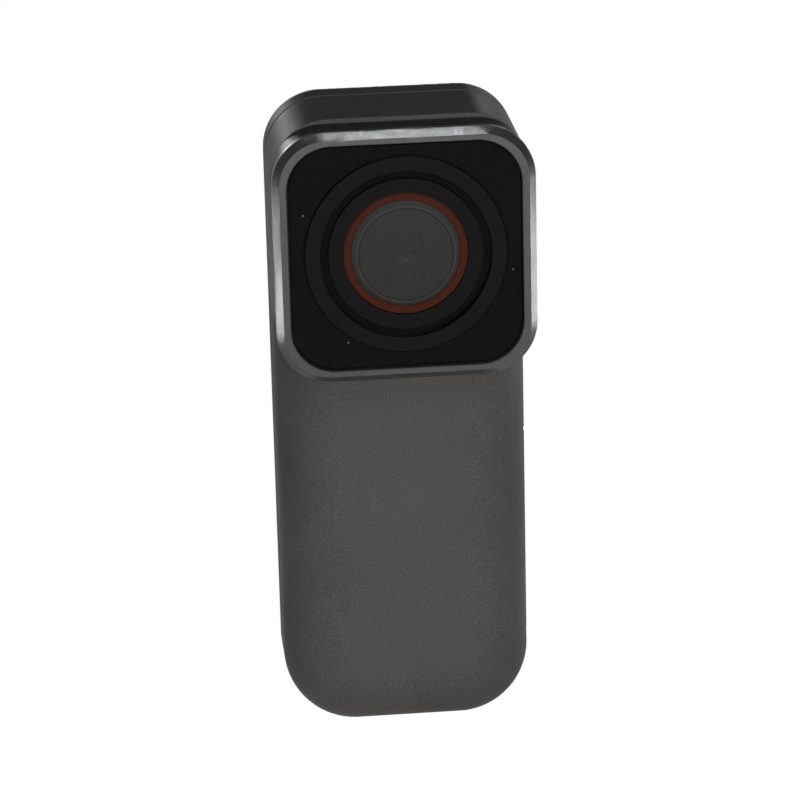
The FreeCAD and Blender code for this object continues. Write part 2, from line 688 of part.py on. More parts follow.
def rear_cover():
    """Moulded rear half: hollow, with screw pillars, the speaker's holes and seats for the clip's screws."""
    cover = rear_outer.cut(rear_form(WALL, 0))
    inside = rear_form(WALL / 2, 0)
    for place in shell_boss_places:
        cover = cover.fuse(disc(SHELL_BOSS_R, seam_back, body_depth, place).common(inside))
        cover = cover.cut(disc(SHELL_SCREW_R + SCREW_CLEARANCE, seam_back - 1, body_depth, place))
        cover = cover.cut(disc(SHELL_SCREW_HEAD_R + SCREW_CLEARANCE, shell_screw_seat, body_depth + 1, place))
    boss_front = cover_inside - CLIP_BOSS_DEPTH
    for place in clip_screw_places:
        cover = cover.fuse(disc(CLIP_BOSS_R, boss_front, cover_inside, place))
        cover = cover.cut(disc(CLIP_SCREW_R + THREAD_CLEARANCE, boss_front - 1, body_depth + 1, place))
    for index in range(GRILLE_HOLES):
        x = (index - (GRILLE_HOLES - 1) / 2) * GRILLE_PITCH
        cover = cover.cut(disc(GRILLE_HOLE_R, cover_inside - 1, body_depth + 1, (x, grille_z)))
    return cover


def shell_gasket():
    """Flat seal that fills the joint between the shells, set in from their outer faces."""
    seal = prism(body_outline(SEAM_GROOVE), seam_front, seam_back)
    seal = seal.cut(prism(body_outline(WALL - SEAM_GROOVE), seam_front, seam_back))
    return above_foot(seal)


def lens_bezel():
    """Metal frame round the face, with a wide outer chamfer and a small inner one."""
    front = taper(bezel_outline(BEZEL_CHAMFER), 0, bezel_outline(0), BEZEL_CHAMFER_DEPTH)
    frame = front.fuse(prism(bezel_outline(0), BEZEL_CHAMFER_DEPTH, BEZEL_DEPTH)).removeSplitter()
    frame = frame.cut(prism(opening_outline(0), -1, BEZEL_DEPTH + 1))
    return frame.cut(taper(opening_outline(-BEZEL_LIP), 0, opening_outline(0), BEZEL_LIP))


def head_collar():
    """Dark collar behind the bezel, with a ledge that carries the lens carrier."""
    collar = prism(bezel_outline(COLLAR_INSET), BEZEL_DEPTH, HEAD_REACH)
    collar = collar.cut(prism(opening_outline(0), BEZEL_DEPTH - 1, carrier_back))
    return collar.cut(prism(bezel_outline(COLLAR_INSET + COLLAR_WALL), BEZEL_DEPTH, HEAD_REACH + 1))


def lens_carrier():
    """Plate in the collar that the face panel, the rings and the window are seated on."""
    carrier = prism(opening_outline(SEAT_CLEARANCE), BEZEL_DEPTH, carrier_back)
    return carrier.cut(disc(FRONT_LENS_R, BEZEL_DEPTH - 1, carrier_back + 1, (0, lens_z)))


def face_panel():
    """Black panel with a raised ring and a groove that run round the lens."""
    panel = prism(opening_outline(PANEL_GAP), PANEL_SET_BACK, BEZEL_DEPTH)
    raised = disc(STEP_OUTER_R, STEP_SET_BACK, BEZEL_DEPTH, (0, lens_z))
    panel = panel.fuse(raised.common(prism(opening_outline(PANEL_GAP), 0, BEZEL_DEPTH)))
    panel = panel.cut(disc(STEP_INNER_R, 0, GROOVE_SET_BACK, (0, lens_z)))
    return panel.cut(disc(TRIM_OUTER_R + RING_CLEARANCE, 0, BEZEL_DEPTH + 1, (0, lens_z)))


def lens_window():
    """Round cover glass with a slightly domed face and a chamfered rim."""
    glass = lens_element(WINDOW_R, WINDOW_SET_BACK, window_back, WINDOW_R, WINDOW_CROWN, WINDOW_R, 0)
    start = WINDOW_SET_BACK - WINDOW_CHAMFER
    bevel = turned([(WINDOW_R - 2 * WINDOW_CHAMFER, start), (WINDOW_R + WINDOW_CHAMFER, start),
                    (WINDOW_R + WINDOW_CHAMFER, WINDOW_SET_BACK + 2 * WINDOW_CHAMFER)])
    return glass.cut(bevel)


def lens_barrel():
    """Tube that holds the lens elements, open at both ends, with a ledge behind the front element."""
    front_bore, rear_bore = FRONT_LENS_R + SEAT_CLEARANCE, INNER_LENS_R + SEAT_CLEARANCE
    return turned([(front_bore, carrier_back), (BARREL_R, carrier_back), (BARREL_R, barrel_back),
                   (rear_bore, barrel_back), (rear_bore, ledge_back), (CLEAR_R, ledge_back),
                   (CLEAR_R, lens_seat), (front_bore, lens_seat)])


def lens_holder():
    """Square holder on the sensor board, with the barrel's seat, a flange and a recess for the filter."""
    middle = (0, lens_z)
    holder = chip((HOLDER_WIDTH, HOLDER_WIDTH), middle, holder_front, sensor_board_front)
    flange_front = sensor_board_front - HOLDER_FLANGE_HEIGHT
    holder = holder.fuse(chip(sensor_plate, middle, flange_front, sensor_board_front))
    holder = holder.cut(disc(BARREL_R + SEAT_CLEARANCE, holder_front - 1, barrel_back, middle))
    holder = holder.cut(disc(INNER_LENS_R, holder_front, sensor_board_front, middle))
    recess = FILTER_WIDTH + 2 * SEAT_CLEARANCE
    return holder.cut(chip((recess, recess), middle, filter_front, sensor_board_front + 1))


def main_board():
    """Circuit board on the front shell's posts."""
    board = block(-board_half, board_half, board_front, board_back, board_low, board_high)
    for place in board_boss_places:
        board = board.cut(disc(BOARD_SCREW_R + SCREW_CLEARANCE, board_front - 1, board_back + 1, place))
    return board


def processor_shield():
    """Open-backed metal can over the processor, seated on the board."""
    width, height = shield_size
    can = chip(shield_size, shield_place, board_front - SHIELD_THICKNESS, board_front)
    inner = (width - 2 * SHIELD_WALL, height - 2 * SHIELD_WALL)
    return can.cut(chip(inner, shield_place, board_front - SHIELD_THICKNESS + SHIELD_WALL, board_front))


def battery():
    """Flat cell in the rear cover, with rounded long edges."""
    cell = block(-battery_width / 2, battery_width / 2, battery_front, battery_back, board_low, battery_high)
    edges = [edge for edge in cell.Edges if edge.BoundBox.ZLength > battery_height / 2]
    return cell.makeFillet(BATTERY_EDGE_R, edges)


def battery_lead():
    """Flat ribbon from the cell's upper end to its plug on the board."""
    back = board_back + PLUG_THICKNESS
    return block(-LEAD_WIDTH / 2, LEAD_WIDTH / 2, back - 2 * LEAD_THICKNESS, back - LEAD_THICKNESS,
                 battery_high, battery_high + PLUG_RISE)


def speaker():
    """Flat speaker against the rear cover, with a shallow dish for its cone."""
    half = SPEAKER_WIDTH / 2
    radius = SPEAKER_CORNER_R
    body = prism(outline(half, speaker_low, speaker_high, radius, radius), speaker_front, cover_inside)
    rim = radius / 2
    dish = outline(half - rim, speaker_low + rim, speaker_high - rim, rim, rim)
    return body.cut(prism(dish, cover_inside - SPEAKER_THICKNESS / 4, cover_inside + 1))


def speaker_contacts():
    """Two sprung contacts that join the board to the speaker."""
    z = (speaker_low + board_high) / 2
    place = (CONTACT_SPACING / 2, z)
    return on_both_sides(chip((CONTACT_WIDTH, CONTACT_HEIGHT), place, board_back, speaker_front))


def usb_c_port():
    """Oblong metal socket with its tongue, open towards the door."""
    x_low = bay_floor_x - USB_LENGTH
    port = oblong(USB_HEIGHT, USB_WIDTH, x_low, bay_floor_x, usb_depth, usb_z)
    inner_height, inner_width = USB_HEIGHT - 2 * USB_WALL, USB_WIDTH - 2 * USB_WALL
    port = port.cut(oblong(inner_height, inner_width, x_low + 1, bay_floor_x + 1, usb_depth, usb_z))
    tongue = block(x_low + USB_WALL, bay_floor_x - USB_TONGUE, usb_depth - USB_TONGUE / 2,
                   usb_depth + USB_TONGUE / 2, usb_z - USB_TONGUE_WIDTH / 2, usb_z + USB_TONGUE_WIDTH / 2)
    return port.fuse(tongue)


def card_slot():
    """Flat metal socket for a memory card, open towards the door."""
    x_low = bay_floor_x - CARD_SLOT_LENGTH
    half = CARD_SLOT_WIDTH / 2
    front = board_front - CARD_SLOT_THICKNESS
    slot = block(x_low, bay_floor_x, front, board_front, card_z - half, card_z + half)
    return slot.cut(block(x_low + 1, bay_floor_x + 1, card_depth - CARD_THICKNESS / 2,
                          card_depth + CARD_THICKNESS / 2, card_z - CARD_WIDTH / 2, card_z + CARD_WIDTH / 2))


def button(z, width, length):
    """Button cap level with the housing's side, with a rounded edge and a flange behind the wall."""
    cap = oblong(width, length, flange_bottom, half_width, BUTTON_DEPTH, z)
    cap = cap.makeFillet(BUTTON_EDGE_R, [edge for edge in cap.Edges if edge.BoundBox.XMin > half_width - 0.01])
    growth = 2 * BUTTON_FLANGE
    return cap.fuse(oblong(width + growth, length + growth, flange_bottom, flange_top, BUTTON_DEPTH, z))


def push_switch(z):
    """Small push switch on the side board."""
    half = SWITCH_SIZE / 2
    body = block(side_board_face, switch_top, BUTTON_DEPTH - half, BUTTON_DEPTH + half, z - half, z + half)
    return body.fuse(bar(PLUNGER_R, switch_top, plunger_top, BUTTON_DEPTH, z))


def port_door():
    """Door of the port bay, level with the housing's side and hinged at its top."""
    start, end = bay_front + DOOR_GAP, bay_back - DOOR_GAP
    slab = block(half_width - DOOR_THICKNESS, half_width, start, end,
                 BAY_BOTTOM + DOOR_GAP, door_axis_z + DOOR_END)
    place = (door_axis_x, door_axis_z)
    door = slab.common(front_outer).fuse(disc(DOOR_KNUCKLE_R, start, end, place))
    return door.cut(disc(DOOR_PIN_R + HINGE_CLEARANCE, start - 1, end + 1, place))


def door_seal():
    """Rubber frame on the door's inner face."""
    x_high = half_width - DOOR_THICKNESS
    x_low = x_high - DOOR_SEAL_THICKNESS
    inset = DOOR_GAP + DOOR_SEAL_INSET
    wall = DOOR_SEAL_WALL
    start, end = bay_front + inset, bay_back - inset
    low, high = BAY_BOTTOM + inset, door_axis_z - DOOR_KNUCKLE_R - inset
    frame = block(x_low, x_high, start, end, low, high)
    return frame.cut(block(x_low - 1, x_high + 1, start + wall, end - wall, low + wall, high - wall))


def clip_path():
    """Middle line of the clip; the nose's corner is set in by what its bend cuts off."""
    run_in = math.atan2(CLIP_JAW_DROP, clip_middle - nose_reach)
    run_out = math.atan2(CLIP_FLARE, CLIP_FLARE_RISE)
    turn = math.pi - run_in - run_out
    corner = nose_reach - CLIP_NOSE_R * (1 / math.cos(turn / 2) - 1)
    return [(clip_middle, clip_top), (clip_middle, jaw_z), (corner, nose_z),
            (corner + CLIP_FLARE_RISE, clip_low)]


def clip_arm():
    """Sprung arm: a finger tab, a hump over the coil, a long plate, and a nose that bends in to the cover."""
    half = CLIP_WIDTH / 2
    arm, bends = strip(clip_path(), [CLIP_BEND_R, CLIP_NOSE_R], CLIP_THICKNESS, -half, half)
    beyond = block(-half, half, clip_inside, total_depth, pin_z - hump_outer_r, pin_z + hump_outer_r)
    arm = arm.fuse(bar(hump_outer_r, -half, half, pin_depth, pin_z).common(beyond))
    arm = arm.cut(bar(hump_inner_r, -half - 1, half + 1, pin_depth, pin_z))
    cheek = bar(HINGE_KNUCKLE_R, cheek_inner_x, cheek_outer_x, pin_depth, pin_z)
    cheek = cheek.fuse(block(cheek_inner_x, cheek_outer_x, pin_depth, pin_depth + hump_inner_r + HUMP_WALL / 2,
                             pin_z - HINGE_KNUCKLE_R, pin_z + HINGE_KNUCKLE_R))
    arm = arm.fuse(on_both_sides(cheek))
    arm = arm.cut(bar(HINGE_PIN_R + HINGE_CLEARANCE, -half - 1, half + 1, pin_depth, pin_z))
    arm = arm.common(prism(outline(half, arm.BoundBox.ZMin, clip_top, CLIP_END_R, CLIP_END_R),
                           body_depth, total_depth + 1))
    first_rib = clip_top - 2 * LANYARD_EDGE - 2 * LANYARD_HOLE_R
    for index in range(RIB_COUNT):
        arm = arm.fuse(bar(RIB_R, RIB_MARGIN - half, half - RIB_MARGIN, clip_inside + CLIP_THICKNESS,
                           first_rib - index * RIB_PITCH))
    return arm.cut(disc(LANYARD_HOLE_R, clip_inside - 1, clip_inside + CLIP_THICKNESS + 1, (0, lanyard_z)))


def clip_pad():
    """Rubber grip that follows the bend of the clip's nose."""
    arm, bends = strip(clip_path(), [CLIP_BEND_R, CLIP_NOSE_R], CLIP_THICKNESS, 0, 1)
    centre, towards, turn = bends[-1]
    inner = CLIP_NOSE_R + CLIP_THICKNESS / 2
    outer = inner + PAD_THICKNESS
    half = CLIP_WIDTH / 2 - PAD_MARGIN
    start = Vector(-half, centre.y, centre.z)
    band = Part.makeCylinder(outer, 2 * half, start, Vector(1, 0, 0))
    band = band.cut(Part.makeCylinder(inner, 2 * half, start, Vector(1, 0, 0)))
    corners = [start]
    for angle in (-turn / 2, turn / 2):
        spoke = FreeCAD.Rotation(Vector(1, 0, 0), math.degrees(angle)).multVec(towards)
        corners.append(start + spoke * (2 * outer / math.cos(turn / 2)))
    wedge = Part.Face(Part.makePolygon(corners + corners[:1])).extrude(Vector(2 * half, 0, 0))
    return band.common(wedge)


def clip_bracket():
    """Plate screwed to the cover, with two ears for the hinge pin and a seat for the spring's leg."""
    low, high = pin_z - BRACKET_DROP, pin_z + BRACKET_RISE
    plate = prism(outline(ear_outer_x, low, high, BRACKET_CORNER_R, BRACKET_CORNER_R),
                  body_depth, body_depth + BRACKET_THICKNESS)
    ear = bar(HINGE_KNUCKLE_R, ear_inner_x, ear_outer_x, pin_depth, pin_z)
    ear = ear.fuse(block(ear_inner_x, ear_outer_x, body_depth, pin_depth, pin_z - HINGE_KNUCKLE_R,
                         pin_z + HINGE_KNUCKLE_R))
    bracket = plate.fuse(on_both_sides(ear)).removeSplitter()
    bracket = bracket.cut(bar(HINGE_PIN_R + THREAD_CLEARANCE, -CLIP_WIDTH, CLIP_WIDTH, pin_depth, pin_z))
    seat = block(-spring_half - SPRING_SEAT_WIDTH / 2, -spring_half + SPRING_SEAT_WIDTH / 2, body_depth,
                 spring_seat, pin_z + SPRING_LEG - SPRING_SEAT_RUN, pin_z + SPRING_LEG)
    bracket = bracket.fuse(seat)
    for place in clip_screw_places:
        bracket = bracket.cut(disc(CLIP_SCREW_R + SCREW_CLEARANCE, body_depth - 1, total_depth, place))
        bracket = bracket.cut(disc(CLIP_SCREW_HEAD_R + SCREW_CLEARANCE, clip_screw_seat, total_depth, place))
    return bracket


# The coil's wire sets out downwards from the bracket's leg and leaves upwards to the finger tab's leg
coil_angle = 2 * math.pi * SPRING_TURNS + math.radians(180 + SPRING_END_DEG)
spring_half = coil_angle * SPRING_PITCH / (4 * math.pi)


def coil_place(angle):
    """Place and direction of the coil's middle line at an angle from the bracket's leg."""
    slope = SPRING_PITCH / (2 * math.pi)
    across, up = math.cos(angle), math.sin(angle)
    place = Vector(angle * slope - spring_half, depth(pin_depth) - SPRING_COIL_R * across,
                   pin_z - SPRING_COIL_R * up)
    return place, Vector(slope, SPRING_COIL_R * up, -SPRING_COIL_R * across).normalize()


def arc_from(start, along, end):
    """Arc to a second point that sets out in a given direction."""
    chord = end - start
    unit = Vector(chord).normalize()
    aside = (along - unit * along.dot(unit)).normalize()
    rise = chord.Length / 2 * math.tan(unit.getAngle(along) / 2)
    return Part.Arc(start, start + chord * 0.5 + aside * rise, end).toShape()


def arc_pair(start, start_along, end, end_along):
    """Two arcs that join two points and keep the direction at both of them."""
    chord = end - start
    reach = chord.dot(start_along + end_along)
    spread = 2 * (1 - start_along.dot(end_along))
    run = chord.dot(chord) / (math.sqrt(reach ** 2 + spread * chord.dot(chord)) + reach)
    first, last = start + start_along * run, end - end_along * run
    middle = (first + last) * 0.5
    return [arc_from(start, start_along, middle), arc_from(middle, (last - first).normalize(), end)]


def spring_line():
    """Middle line of the spring: a leg on the bracket, the coil, and a leg under the finger tab."""
    up = Vector(0, 0, 1)
    under_tab = depth(clip_inside - SPRING_WIRE_R - SEAT_CLEARANCE)
    leg_top = pin_z + SPRING_LEG
    (first, first_along), (last, last_along) = coil_place(0), coil_place(coil_angle)
    first_bend = first + up * (2 * SPRING_WIRE_R)
    last_bend = Vector(spring_half, under_tab, last.z + SPRING_COIL_R + 2 * SPRING_WIRE_R)
    edges = [Part.LineSegment(Vector(first.x, first.y, leg_top), first_bend).toShape()]
    edges += arc_pair(first_bend, up * -1, first, first_along)
    steps = math.ceil(coil_angle / (math.pi / 2))
    places = [coil_place(coil_angle * index / steps) for index in range(steps + 1)]
    for (a, a_along), (b, b_along) in zip(places, places[1:]):
        edges += arc_pair(a, a_along, b, b_along)
    edges += arc_pair(last, last_along, last_bend, up)
    edges.append(Part.LineSegment(last_bend, Vector(last_bend.x, under_tab, leg_top)).toShape())
    return Part.Wire(edges)


def least_gap(line):
    """Least gap between the wire's turns, measured on points of its middle line."""
    count = 500
    points = line.discretize(Number=count)
    apart = math.ceil(math.pi * SPRING_COIL_R * count / line.Length)
    nearest = min(a.distanceToPoint(b) for i, a in enumerate(points) for b in points[i + apart:])
    return nearest - 2 * SPRING_WIRE_R


def clip_spring():
    """Torsion spring on the hinge pin, one unbroken wire from leg to leg."""
    line = spring_line()
    print(f"clip_spring: least gap between turns {least_gap(line):.2f} mm")
    circle = Part.makeCircle(SPRING_WIRE_R, line.Edges[0].Vertexes[0].Point, Vector(0, 0, 1))
    return line.makePipeShell([Part.Wire(circle)], True, False)


def screws(places, *sizes):
    """Group of like screws at their places."""
    return Part.makeCompound([screw(*sizes, place) for place in places])


nodes = {
    "front_shell": front_shell(),
    "rear_cover": rear_cover(),
    "shell_gasket": shell_gasket(),
    "shell_screws": screws(shell_boss_places, SHELL_SCREW_HEAD_R, SHELL_SCREW_HEAD, SHELL_SCREW_R,
                           SHELL_SCREW_LENGTH, shell_screw_seat),
    "lens_bezel": lens_bezel(),
    "head_collar": head_collar(),
    "lens_carrier": lens_carrier(),
    "face_panel": face_panel(),
    "lens_trim_ring": ring(TRIM_OUTER_R, ACCENT_OUTER_R + RING_CLEARANCE, TRIM_SET_BACK, BEZEL_DEPTH),
    "accent_ring": ring(ACCENT_OUTER_R, WINDOW_R + RING_CLEARANCE, ACCENT_SET_BACK, BEZEL_DEPTH),
    "lens_window": lens_window(),
    "window_seal": ring(WINDOW_R, FRONT_LENS_R, window_back, BEZEL_DEPTH),
    "lens_barrel": lens_barrel(),
    "front_lens": lens_element(FRONT_LENS_R, carrier_back + FRONT_LENS_BULGE, lens_seat, FRONT_LENS_R,
                               FRONT_LENS_BULGE, CLEAR_R, -INNER_LENS_BULGE),
    "middle_lens": lens_element(INNER_LENS_R, ledge_back, middle_lens_back, CLEAR_R, INNER_LENS_BULGE,
                                CLEAR_R, -INNER_LENS_BULGE),
    "lens_spacer": ring(INNER_LENS_R, CLEAR_R, middle_lens_back, spacer_back),
    "rear_lens": lens_element(INNER_LENS_R, spacer_back, rear_lens_back, CLEAR_R, INNER_LENS_BULGE,
                              CLEAR_R, INNER_LENS_BULGE),
    "lens_retainer": ring(INNER_LENS_R, CLEAR_R, rear_lens_back, barrel_back),
    "lens_holder": lens_holder(),
    "ir_filter": chip((FILTER_WIDTH, FILTER_WIDTH), (0, lens_z), filter_front, filter_back),
    "image_sensor": chip((SENSOR_WIDTH, SENSOR_HEIGHT), (0, lens_z), sensor_board_front - SENSOR_THICKNESS,
                         sensor_board_front),
    "sensor_board": chip(sensor_plate, (0, lens_z), sensor_board_front, sensor_board_back),
    "sensor_connector": chip((CONNECTOR_WIDTH, CONNECTOR_LENGTH), (0, lens_z - CONNECTOR_BELOW_LENS),
                             sensor_board_back, board_front),
    "main_board": main_board(),
    "board_screws": screws(board_boss_places, BOARD_SCREW_HEAD_R, BOARD_SCREW_HEAD, BOARD_SCREW_R,
                           BOARD_SCREW_LENGTH, board_back),
    "processor_shield": processor_shield(),
    "memory_chip": chip((MEMORY_WIDTH, MEMORY_HEIGHT), (memory_x, memory_low + MEMORY_HEIGHT / 2),
                        board_front - MEMORY_THICKNESS, board_front),
    "wireless_module": chip((RADIO_WIDTH, RADIO_WIDTH), (0, radio_low + RADIO_WIDTH / 2),
                            board_front - RADIO_THICKNESS, board_front),
    "vibration_motor": disc(MOTOR_R, HEAD_REACH + WALL, HEAD_REACH + WALL + MOTOR_THICKNESS,
                            (0, head_bottom - MOTOR_BELOW_HEAD)),
    "microphone": chip((MICROPHONE_WIDTH, MICROPHONE_WIDTH), (board_half - MICROPHONE_WIDTH / 2, sound_z),
                       board_front - MICROPHONE_THICKNESS, board_front),
    "mic_boot": bar(BOOT_R, board_half, inner_x, sound_depth, sound_z).cut(
        bar(SOUND_HOLE_R, board_half - 1, inner_x + 1, sound_depth, sound_z)),
    "battery": battery(),
    "battery_tape": chip((battery_width - 2 * TAPE_MARGIN, battery_height - 2 * TAPE_MARGIN),
                         (0, board_low + battery_height / 2), board_back, battery_front),
    "battery_foam": chip((battery_width - 4 * TAPE_MARGIN, battery_height - 4 * TAPE_MARGIN),
                         (0, board_low + battery_height / 2), battery_back, cover_inside),
    "battery_connector": chip((PLUG_WIDTH, PLUG_HEIGHT), (0, battery_high + PLUG_RISE + PLUG_HEIGHT / 2),
                              board_back, board_back + PLUG_THICKNESS),
    "battery_lead": battery_lead(),
    "speaker": speaker(),
    "speaker_contacts": speaker_contacts(),
    "usb_c_port": usb_c_port(),
    "card_slot": card_slot(),
    "side_board": block(side_board_back, side_board_face, board_front - SIDE_BOARD_WIDTH, board_front,
                        side_board_low, power_z + SIDE_BOARD_MARGIN),
    "power_switch": push_switch(power_z),
    "record_switch": push_switch(record_z),
    "status_light": bar(LIGHT_R, side_board_face, half_width, BUTTON_DEPTH, light_z).common(front_outer),
    "power_button": button(*power_shape),
    "record_button": button(*record_shape),
    "port_door": port_door(),
    "door_seal": door_seal(),
    "port_door_pin": disc(DOOR_PIN_R, bay_front - DOOR_PIN_BITE, bay_back + DOOR_PIN_BITE,
                          (door_axis_x, door_axis_z)),
    "clip_bracket": clip_bracket(),
    "clip_screws": screws(clip_screw_places, CLIP_SCREW_HEAD_R, CLIP_SCREW_HEAD, CLIP_SCREW_R,
                          CLIP_SCREW_LENGTH, clip_screw_seat),
    "clip_hinge_pin": bar(HINGE_PIN_R, -ear_outer_x, ear_outer_x, pin_depth, pin_z),
    "clip_spring": clip_spring(),
    "clip_arm": clip_arm(),
    "clip_pad": clip_pad(),
}

os.makedirs("parts", exist_ok=True)
for name, shape in nodes.items():
    solids = shape.Solids
    single = solids[0] if len(solids) == 1 else Part.makeCompound(solids)
    single.exportStep(f"parts/{name}.step")
    print(f"{name}: {len(solids)} solid(s), valid {shape.isValid()}, {len(shape.Faces)} faces, "
          f"{shape.Volume:.2f} mm3")
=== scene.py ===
import json
import math

import bpy
from mathutils import Matrix, Vector


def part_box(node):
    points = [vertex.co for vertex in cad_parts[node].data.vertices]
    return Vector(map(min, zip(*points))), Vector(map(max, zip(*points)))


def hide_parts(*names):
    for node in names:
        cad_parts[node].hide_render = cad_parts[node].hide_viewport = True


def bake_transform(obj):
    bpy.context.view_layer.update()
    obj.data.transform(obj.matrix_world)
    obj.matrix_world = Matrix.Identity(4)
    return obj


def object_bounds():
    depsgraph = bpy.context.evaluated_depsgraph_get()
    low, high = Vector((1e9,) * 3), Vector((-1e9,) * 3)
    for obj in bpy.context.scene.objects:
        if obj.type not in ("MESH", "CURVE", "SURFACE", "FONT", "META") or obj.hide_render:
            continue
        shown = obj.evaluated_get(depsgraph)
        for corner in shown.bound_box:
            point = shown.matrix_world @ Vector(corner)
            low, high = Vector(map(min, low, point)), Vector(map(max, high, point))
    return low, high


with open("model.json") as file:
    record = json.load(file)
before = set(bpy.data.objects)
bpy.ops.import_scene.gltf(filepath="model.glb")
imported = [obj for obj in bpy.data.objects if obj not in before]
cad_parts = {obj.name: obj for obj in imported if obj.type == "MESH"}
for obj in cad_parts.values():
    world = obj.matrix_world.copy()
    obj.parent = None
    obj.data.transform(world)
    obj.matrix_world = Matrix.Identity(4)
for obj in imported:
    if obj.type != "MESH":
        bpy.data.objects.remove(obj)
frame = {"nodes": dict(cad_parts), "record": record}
cad_low, cad_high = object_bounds()
nodes = frame["nodes"]

MM = 0.001

# The photograph's camera, found by matching outlines, with its lens and sensor in millimetres
CAMERA_DISTANCE = 409.18 * MM
CAMERA_AZIMUTH = math.radians(-5.07)
CAMERA_ELEVATION = math.radians(18.98)
CAMERA_ROLL = math.radians(-1.43)
CAMERA_LENS = 158.41
CAMERA_SENSOR = 36.0
CAMERA_HEIGHT = 44.82 * MM
CAMERA_ASIDE = -1.17 * MM
CAMERA_NEAR = 10 * MM

# Fine grain and broad mottling: scales in repeats per metre, and the noise values that count as its ends
GRAIN_SCALE = 4200.0
GRAIN_DETAIL = 4.0
GRAIN_ROUGHNESS = 0.75
GRAIN_LIMITS = (0.34, 0.66)
GRAIN_DEPTH = 0.04 * MM
MOTTLE_SCALE = 90.0
MOTTLE_LIMITS = (0.3, 0.7)
MOTTLE_SHARE = 0.35

# Edges of the tones round the lens, as radii: the painted shadow line at the foot of the panel's raised ring,
# the ring, the groove with its painted shade, then the round window's rim with its painted highlight and its
# darker line
FOOT_SHADOW_R = 11.85 * MM
RING_EDGE_R = 11.62 * MM
GROOVE_EDGE_R = 9.95 * MM
WINDOW_SHEEN_RIM_R = 6.40 * MM
WINDOW_LINE_R = 5.60 * MM
WINDOW_LINE_INNER_R = 5.35 * MM

# Pale specks on the lens face, partly dust and partly painted glints of light on the ring edges: cells per
# metre, reach in a cell's size, share of cells with a speck, colour
DUST_GLINT_SCALE = 420.0
DUST_GLINT_REACH = 0.055
DUST_GLINT_SHARE = 0.22
DUST_GLINT_COLOUR = (0.22, 0.23, 0.24)

# The clip's torsion spring: a leg on the bracket, the coil, and a leg under the finger tab
WIRE_R = 0.25 * MM
COIL_R = 1.2 * MM
COIL_PITCH = 1.0 * MM
COIL_ANGLE = math.radians(4 * 360 + 200)
COIL_STEPS = 164
LEG_LENGTH = 5.5 * MM
TAB_LEG_BACK = 0.7 * MM

# Aims of the lamps, the upper chamfer's measured from the middle of the lens, and the size of three lamps
HOUSING_AIM_Z = 40 * MM
CHAMFER_AIM = Vector((0, -0.5 * MM, 14 * MM))
SOFT_SIZE = (0.35, 0.35)

# Floor and sky: SHADE is how much of its own shading the camera sees, GLOSS how much white reflections see
FLOOR_REACH = 3.0
FLOOR_SHADE = 0.15
FLOOR_GLOSS = 0.45
FLOOR_GLOW = 1.16
FLOOR_ROUGHNESS = 0.9
FLOOR_DARK = 0.50
FLOOR_LIGHT = 0.54
FLOOR_SPECK_SCALE = 900.0
SKY_GLOSS = 0.05
AMBIENT = 0.01
WHITE = (1, 1, 1)

# Sockets of a Mix node for colours, by number because their names repeat
MIX_FACTOR, MIX_FIRST, MIX_SECOND, MIX_RESULT = 0, 6, 7, 2

# Places of the front and of the clip's pin, read from the frame
front_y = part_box("lens_bezel")[0].y
lens_low, lens_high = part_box("lens_window")
lens_x, lens_z = (lens_low.x + lens_high.x) / 2, (lens_low.z + lens_high.z) / 2
pin_low, pin_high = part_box("clip_hinge_pin")
pin_y, pin_z = (pin_low.y + pin_high.y) / 2, (pin_low.z + pin_high.z) / 2


def place_object(name, data):
    """New object in the scene."""
    made = bpy.data.objects.new(name, data)
    bpy.context.scene.collection.objects.link(made)
    return made


def outward(turn, height):
    """Direction out of the front, turned to the right and raised by angles in radians."""
    return Vector((math.sin(turn) * math.cos(height), -math.cos(turn) * math.cos(height), math.sin(height)))


def material(name):
    """New node material, its tree and its main shader."""
    made = bpy.data.materials.new(name)
    made.use_nodes = True
    return made, made.node_tree, made.node_tree.nodes["Principled BSDF"]


def feed(tree, socket, value):
    """Link an input to an output, or set it to a number, vector or colour."""
    if hasattr(value, "is_output"):
        tree.links.new(value, socket)
    elif socket.type == "RGBA":
        socket.default_value = (*value, 1.0)
    else:
        socket.default_value = value


def add(tree, kind, **values):
    """New node with its properties and, by name, its inputs."""
    node = tree.nodes.new(kind)
    for key, value in values.items():
        if key in node.inputs:
            feed(tree, node.inputs[key], value)
        else:
            setattr(node, key, value)
    return node


def maths(tree, operation, *values, kind="ShaderNodeMath"):
    """New node for an operation on numbers or vectors."""
    node = add(tree, kind, operation=operation)
    for socket, value in zip(node.inputs, values):
        feed(tree, socket, value)
    return node


def object_place(tree):
    """Texture coordinates in metres, in the part's frame at rest."""
    return add(tree, "ShaderNodeTexCoord").outputs["Object"]


def noise(tree, scale, detail=3.0, roughness=0.5):
    """Noise with a scale in repeats per metre."""
    place = object_place(tree)
    node = add(tree, "ShaderNodeTexNoise", Vector=place, Scale=scale, Detail=detail, Roughness=roughness)
    return node.outputs["Fac"]


def spread(tree, value, low, high, limits=MOTTLE_LIMITS):
    """A noise value spread over a range, with the limits as its ends."""
    node = add(tree, "ShaderNodeMapRange", Value=value)
    for name, number in zip(("From Min", "From Max", "To Min", "To Max"), (*limits, low, high)):
        node.inputs[name].default_value = number
    return node.outputs["Result"]


def mix_colour(tree, factor, first, second):
    """Colour between two colours or outputs."""
    node = add(tree, "ShaderNodeMix", data_type="RGBA")
    for number, value in ((MIX_FACTOR, factor), (MIX_FIRST, first), (MIX_SECOND, second)):
        feed(tree, node.inputs[number], value)
    return node.outputs[MIX_RESULT]


def grey(level):
    """Neutral colour of a brightness."""
    return (level, level, level)


